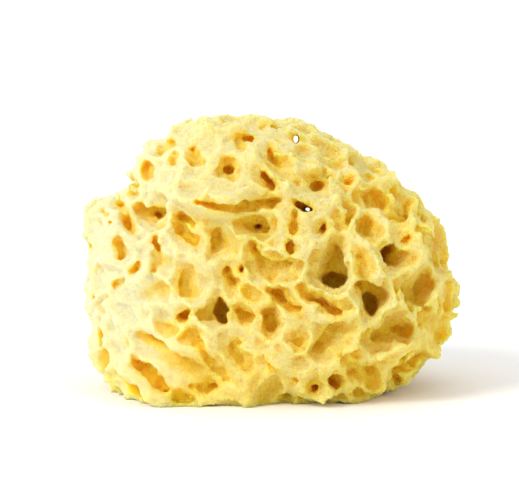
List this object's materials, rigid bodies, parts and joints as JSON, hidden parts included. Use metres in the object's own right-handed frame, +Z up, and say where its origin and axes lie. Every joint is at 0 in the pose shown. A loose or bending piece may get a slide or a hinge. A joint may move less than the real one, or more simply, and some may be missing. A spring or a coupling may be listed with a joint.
{
  "type": "natural sea sponge",
  "caption": "Rounded honeycomb bath sponge, its skin eaten into funnels, slits and pores between thin crests, cut flat where it grew on rock.",
  "frame": {"origin": "a point of the flat cut under the sponge, below the middle of its outline", "axes": "+Z up, out of the cut; +X to the right of someone who looks at the front; the front looks along -Y"},
  "size_m": [0.1468, 0.1083, 0.1074],
  "materials": {
    "sponge": "matte, soft and slightly translucent spongin fibre, cream on the crests and golden in the pits"
  },
  "bodies": {
    "root": {"sponge": "sponge"}
  },
  "joints": []
}
